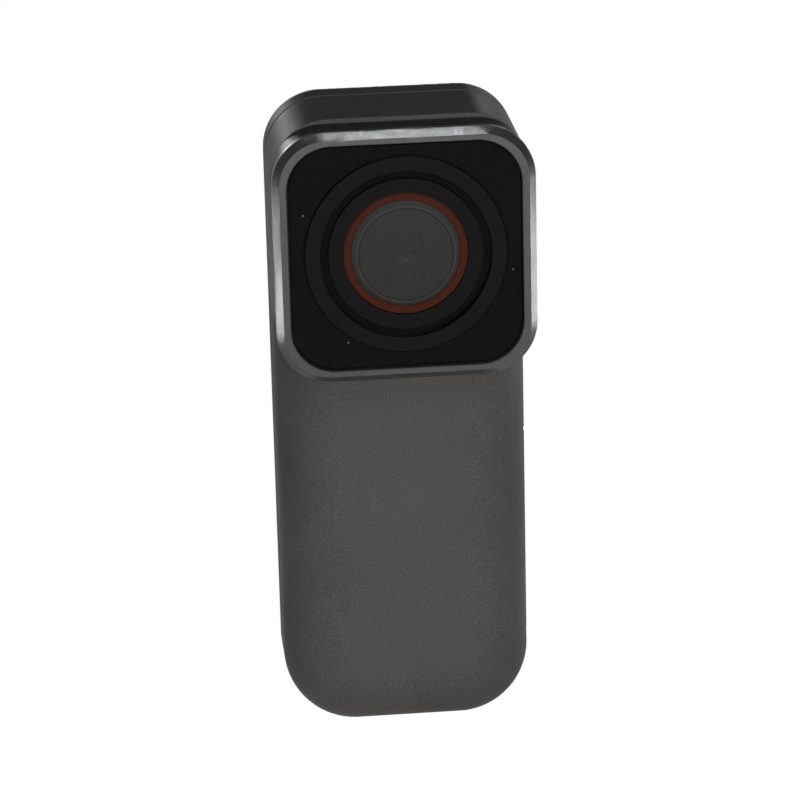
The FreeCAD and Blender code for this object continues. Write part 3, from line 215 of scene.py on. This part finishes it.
def grained(name, dark, light, rough, bump=0.06, metallic=0.0, rough_spread=0.06, specular=0.5):
    """Moulded or blasted surface: fine grain, and faint mottling in colour and in roughness."""
    made, tree, shader = material(name)
    fine = noise(tree, GRAIN_SCALE, GRAIN_DETAIL, GRAIN_ROUGHNESS)
    broad = noise(tree, MOTTLE_SCALE)
    colour = mix_colour(tree, spread(tree, fine, 0.0, 1.0, GRAIN_LIMITS), dark, light)
    relief = add(tree, "ShaderNodeBump", Strength=bump, Distance=GRAIN_DEPTH, Height=fine)
    for key, value in {
        "Base Color": mix_colour(tree, spread(tree, broad, 0.0, MOTTLE_SHARE), colour, dark),
        "Roughness": spread(tree, broad, rough - rough_spread, rough + rough_spread),
        "Metallic": metallic,
        "Specular IOR Level": specular,
        "Normal": relief.outputs["Normal"],
    }.items():
        feed(tree, shader.inputs[key], value)
    return made


# Materials by the record's slots: name, dark and light tone, roughness
materials = {
    "housing_plastic": grained("housing_grain", (0.064, 0.061, 0.059), (0.136, 0.132, 0.128), 0.52,
                               bump=0.25, specular=0.12),
    "door_plastic": grained("door_grain", (0.058, 0.055, 0.053), (0.124, 0.120, 0.116), 0.54,
                            bump=0.2, specular=0.12),
    "head_plastic": grained("head_satin", grey(0.014), grey(0.048), 0.42, bump=0.12, specular=0.12),
    "bezel_metal": grained("bezel_blast", (0.081, 0.081, 0.082), (0.122, 0.122, 0.123), 0.36,
                           bump=0.1, metallic=0.7, specular=0.12),
    "panel_plastic": grained("panel_black", grey(0.0022), grey(0.0092), 0.22,
                             bump=0.02, rough_spread=0.03, specular=0.06),
    "trim_plastic": grained("trim_satin", grey(0.0070), grey(0.0124), 0.26,
                            bump=0.03, rough_spread=0.03, specular=0.05),
    "accent_metal": grained("accent_satin", (0.053, 0.0125, 0.0058), (0.080, 0.0190, 0.0088), 0.40,
                            bump=0.04, specular=0.06),
    "window_glass": grained("window_coat", grey(0.028), (0.051, 0.051, 0.0505), 0.45,
                            bump=0.03, specular=0.06),
    "button_plastic": grained("button_satin", grey(0.020), grey(0.034), 0.4, bump=0.12),
    "seal_rubber": grained("seal_rubber", grey(0.012), grey(0.022), 0.7, bump=0.15),
    "clip_plastic": grained("clip_grain", grey(0.030), grey(0.056), 0.5, bump=0.3),
    "fastener_steel": grained("fastener_steel", (0.25, 0.25, 0.255), (0.40, 0.40, 0.405), 0.3, metallic=1.0),
    "shield_steel": grained("shield_steel", (0.45, 0.45, 0.455), (0.60, 0.60, 0.605), 0.32, metallic=1.0),
    "barrel_metal": grained("barrel_black", grey(0.010), grey(0.020), 0.45, metallic=0.6),
    "inner_plastic": grained("inner_black", grey(0.012), grey(0.024), 0.55),
    "circuit_board": grained("circuit_green", (0.006, 0.045, 0.020), (0.010, 0.075, 0.034), 0.35),
    "chip_resin": grained("chip_resin", (0.014, 0.014, 0.015), (0.024, 0.024, 0.025), 0.5),
    "contact_brass": grained("contact_gold", (0.55, 0.40, 0.14), (0.75, 0.56, 0.22), 0.3, metallic=1.0),
    "battery_foil": grained("battery_foil", (0.30, 0.31, 0.33), (0.42, 0.43, 0.45), 0.38, metallic=1.0),
    "tape": grained("tape_white", (0.50, 0.49, 0.46), (0.62, 0.61, 0.58), 0.6),
    "foam": grained("foam_black", grey(0.016), grey(0.03), 0.9),
    "ribbon": grained("ribbon_film", (0.30, 0.13, 0.02), (0.42, 0.19, 0.04), 0.35),
    "switch_plastic": grained("switch_body", grey(0.04), grey(0.07), 0.35),
    "light_plastic": grained("light_milky", (0.45, 0.46, 0.48), (0.60, 0.61, 0.63), 0.2),
    "lens_glass": grained("lens_coated", (0.020, 0.024, 0.030), (0.030, 0.036, 0.044), 0.05),
    "filter_glass": grained("filter_green", (0.10, 0.16, 0.15), (0.13, 0.20, 0.19), 0.08),
}


def base_colour(slot):
    """Tree of a slot's material, its colour input and the output that feeds it."""
    tree = materials[slot].node_tree
    socket = tree.nodes["Principled BSDF"].inputs["Base Color"]
    return tree, socket, socket.links[0].from_socket


def round_tones(slot, steps):
    """Colours inside radii round the lens, the widest first; None brings back the surface's own colour."""
    tree, socket, own = base_colour(slot)
    apart = maths(tree, "SUBTRACT", object_place(tree), (lens_x, 0, lens_z), kind="ShaderNodeVectorMath")
    flat = maths(tree, "MULTIPLY", apart.outputs["Vector"], (1, 0, 1), kind="ShaderNodeVectorMath")
    reach = maths(tree, "LENGTH", flat.outputs["Vector"], kind="ShaderNodeVectorMath")
    tone = own
    for edge, shade in steps:
        inside = maths(tree, "LESS_THAN", reach.outputs["Value"], edge)
        tone = mix_colour(tree, inside.outputs["Value"], tone, shade or own)
    feed(tree, socket, tone)


def dust_and_glints(slot):
    """Pale specks on a slot's material, partly dust and partly painted glints of light, one round the point
    of each chosen cell.
    """
    tree, socket, under = base_colour(slot)
    cells = add(tree, "ShaderNodeTexVoronoi", Scale=DUST_GLINT_SCALE, Vector=object_place(tree))
    near = maths(tree, "LESS_THAN", cells.outputs["Distance"], DUST_GLINT_REACH)
    chance = add(tree, "ShaderNodeSeparateColor", Color=cells.outputs["Color"])
    chosen = maths(tree, "LESS_THAN", chance.outputs["Red"], DUST_GLINT_SHARE)
    speck = maths(tree, "MULTIPLY", near.outputs["Value"], chosen.outputs["Value"])
    feed(tree, socket, mix_colour(tree, speck.outputs["Value"], under, DUST_GLINT_COLOUR))


# Painted shade: a fine dark line at the foot of the panel's raised ring, standing in for its contact shadow,
# and the groove inside the ring darker, painted shade in the recess; the ring itself a little paler than the
# panel
round_tones("panel_plastic", [(FOOT_SHADOW_R, grey(0.0012)), (RING_EDGE_R, grey(0.0095)),
                              (GROOVE_EDGE_R, grey(0.0032))])
# The round window's rim made lighter, a painted highlight on its edge, then the faint darker line near it,
# and the window's own tone again
round_tones("window_glass", [(WINDOW_SHEEN_RIM_R, (0.052, 0.052, 0.0515)), (WINDOW_LINE_R, (0.028, 0.028, 0.0275)),
                             (WINDOW_LINE_INNER_R, None)])
# Pale specks on the panel and the trim: partly dust, partly painted glints of light on the ring edges
dust_and_glints("panel_plastic")
dust_and_glints("trim_plastic")

slots = {entry["node"]: entry["material_slot"] for entry in frame["record"]["subparts"]}
for name, thing in nodes.items():
    thing.data.materials.clear()
    thing.data.materials.append(materials[slots[name]])

# Half the length of the spring's coil, and the direction of its legs
coil_half = COIL_ANGLE * COIL_PITCH / (4 * math.pi)
above = Vector((0, 0, 1))


def coil_point(angle):
    """Place and direction on the coil's middle line."""
    slope = COIL_PITCH / (2 * math.pi)
    ahead, down = COIL_R * math.cos(angle), COIL_R * math.sin(angle)
    place = Vector((angle * slope - coil_half, pin_y - ahead, pin_z - down))
    return place, Vector((slope, down, -ahead)).normalized()


def joined(start, start_along, end, end_along, count=8):
    """Points of a smooth curve between two places, with a direction at each."""
    reach = (end - start).length
    points = []
    for t in (index / count for index in range(1, count)):
        points.append(start * (2 * t**3 - 3 * t**2 + 1) + start_along * (reach * (t**3 - 2 * t**2 + t))
                      + end * (3 * t**2 - 2 * t**3) + end_along * (reach * (t**3 - t**2)))
    return points


def tube(name, line, radius, sides=12):
    """Closed tube along a line of points."""
    final = len(line) - 1
    runs = [(line[min(i + 1, final)] - line[max(i - 1, 0)]).normalized() for i in range(final + 1)]
    aside = Vector((1, 0, 0))
    points = []
    for place, along in zip(line, runs):
        aside = (aside - along * aside.dot(along)).normalized()
        other = along.cross(aside)
        for a in (2 * math.pi * step / sides for step in range(sides)):
            points.append(place + aside * (radius * math.cos(a)) + other * (radius * math.sin(a)))
    faces = [(row + s, row + (s + 1) % sides, row + sides + (s + 1) % sides, row + sides + s)
             for row in range(0, final * sides, sides) for s in range(sides)]
    faces += [tuple(reversed(range(sides))), tuple(range(final * sides, (final + 1) * sides))]
    mesh = bpy.data.meshes.new(name)
    mesh.from_pydata(points, [], faces)
    mesh.polygons.foreach_set("use_smooth", [len(face.vertices) == 4 for face in mesh.polygons])
    return place_object(name, mesh)


(first, first_along), (last, last_along) = coil_point(0), coil_point(COIL_ANGLE)
leg_top = pin_z + LEG_LENGTH
first_bend = first + above * (2 * WIRE_R)
first_end = Vector((first.x, first.y, leg_top))
last_bend = Vector((coil_half, pin_y + TAB_LEG_BACK, last.z + COIL_R + 2 * WIRE_R))
last_end = Vector((coil_half, last_bend.y, leg_top))
spring_line = [first_end, (first_bend + first_end) / 2, first_bend]
spring_line += joined(first_bend, -above, first, first_along, count=4)
spring_line += [coil_point(COIL_ANGLE * step / COIL_STEPS)[0] for step in range(COIL_STEPS + 1)]
spring_line += joined(last, last_along, last_bend, above)
spring_line += [last_bend, last_end]
spring = tube("clip_spring_wire", spring_line, WIRE_R)
spring.data.materials.append(materials["fastener_steel"])
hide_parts("clip_spring")
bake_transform(spring)

# Camera of the photograph
eye = place_object("photo_camera", bpy.data.cameras.new("photo_camera"))
back = outward(CAMERA_AZIMUTH, CAMERA_ELEVATION)
level = Vector((math.cos(CAMERA_AZIMUTH), math.sin(CAMERA_AZIMUTH), 0))
upward = back.cross(level)
right = level * math.cos(CAMERA_ROLL) + upward * math.sin(CAMERA_ROLL)
up = upward * math.cos(CAMERA_ROLL) - level * math.sin(CAMERA_ROLL)
target = Vector((CAMERA_ASIDE, front_y, CAMERA_HEIGHT))
facing = Matrix((right, up, back)).transposed().to_4x4()
eye.matrix_world = Matrix.Translation(target + back * CAMERA_DISTANCE) @ facing
eye.data.lens = CAMERA_LENS
eye.data.sensor_width = CAMERA_SENSOR
eye.data.clip_start = CAMERA_NEAR
bpy.context.scene.camera = eye


def lamp(name, aim, turn, height, distance, size, power, beam=180.0):
    """Rectangular lamp round its aim: turn to the right, height and beam in degrees, power in watts."""
    data = bpy.data.lights.new(name, "AREA")
    data.shape = "RECTANGLE"
    data.size, data.size_y = size
    data.energy = power
    data.spread = math.radians(beam)
    made = place_object(name, data)
    made.location = aim + outward(math.radians(turn), math.radians(height)) * distance
    made.rotation_mode = "QUATERNION"
    made.rotation_quaternion = (aim - made.location).to_track_quat("-Z", "Y")


# Wide lamps in front, small beams for the bright lines on the bezel's chamfers, and flat lamps behind
housing_middle = Vector((0, front_y, HOUSING_AIM_Z))
lens_middle = Vector((0, front_y, lens_z))
upper_chamfer = lens_middle + CHAMFER_AIM
lamp("front_middle", housing_middle, turn=5, height=12, distance=1.0, size=(0.4, 0.4), power=4.2)
lamp("front_right", housing_middle, turn=35, height=5, distance=0.8, size=SOFT_SIZE, power=0.6)
lamp("high_middle", housing_middle, turn=5, height=45, distance=0.8, size=SOFT_SIZE, power=1.2)
lamp("front_left", housing_middle, turn=-40, height=5, distance=0.8, size=SOFT_SIZE, power=1.1)
lamp("top_beam", upper_chamfer, turn=5, height=78, distance=0.2, size=(30 * MM, 3 * MM), power=0.0002, beam=2)
for name, turn, power in (("left_beam", -90, 0.0004), ("right_beam", 100, 0.00048)):
    lamp(name, lens_middle, turn, height=-17, distance=0.19, size=(8 * MM, 8 * MM), power=power, beam=14)
lamp("back_middle", housing_middle, turn=180, height=0, distance=1.0, size=(0.4, 0.05), power=4.0)
lamp("back_right", housing_middle, turn=135, height=0, distance=1.0, size=(0.2, 0.05), power=2.0)


def seen_share(tree, camera, glossy, transmission):
    """Share of a white floor or sky that each kind of ray sees, and none for the rays that light the part."""
    rays = add(tree, "ShaderNodeLightPath")
    shares = {"Is Camera Ray": camera, "Is Glossy Ray": glossy, "Is Transmission Ray": transmission}
    total = 0.0
    for kind, share in shares.items():
        total = maths(tree, "MULTIPLY_ADD", rays.outputs[kind], share, total).outputs["Value"]
    return total


def shown(tree, output, share, plain, white):
    """Surface of a material or world: the plain shader, with the white one over it by a share."""
    cover = add(tree, "ShaderNodeMixShader")
    for socket, source in zip(cover.inputs, (share, plain.outputs[0], white.outputs[0])):
        tree.links.new(source, socket)
    tree.links.new(cover.outputs[0], tree.nodes[output].inputs["Surface"])


# Pale floor under the part: white to the camera with the part's shadow kept, and darker in reflections
corners = [(x * FLOOR_REACH, y * FLOOR_REACH, cad_low.z) for x, y in ((-1, -1), (1, -1), (1, 1), (-1, 1))]
floor_mesh = bpy.data.meshes.new("floor")
floor_mesh.from_pydata(corners, [], [(0, 1, 2, 3)])
floor = place_object("floor", floor_mesh)

floor_white, tree, shader = material("floor_white")
shader.inputs["Roughness"].default_value = FLOOR_ROUGHNESS
shader.inputs["Specular IOR Level"].default_value = 0.0
specks = mix_colour(tree, noise(tree, FLOOR_SPECK_SCALE), grey(FLOOR_DARK), grey(FLOOR_LIGHT))
feed(tree, shader.inputs["Base Color"], specks)
glow = add(tree, "ShaderNodeEmission", Color=WHITE, Strength=FLOOR_GLOW)
shown(tree, "Material Output", seen_share(tree, 1 - FLOOR_SHADE, FLOOR_GLOSS, 1 - FLOOR_SHADE), shader, glow)
floor_mesh.materials.append(floor_white)

# White surroundings to the camera, nearly dark ones in reflections, and a faint light from everywhere
world = bpy.data.worlds.new("studio")
bpy.context.scene.world = world
world.use_nodes = True
tree = world.node_tree
ambient = tree.nodes["Background"]
feed(tree, ambient.inputs["Color"], WHITE)
feed(tree, ambient.inputs["Strength"], AMBIENT)
sky = add(tree, "ShaderNodeBackground", Color=WHITE, Strength=1.0)
shown(tree, "World Output", seen_share(tree, 1.0, SKY_GLOSS, 1.0), ambient, sky)
bpy.context.scene.view_settings.view_transform = "Standard"
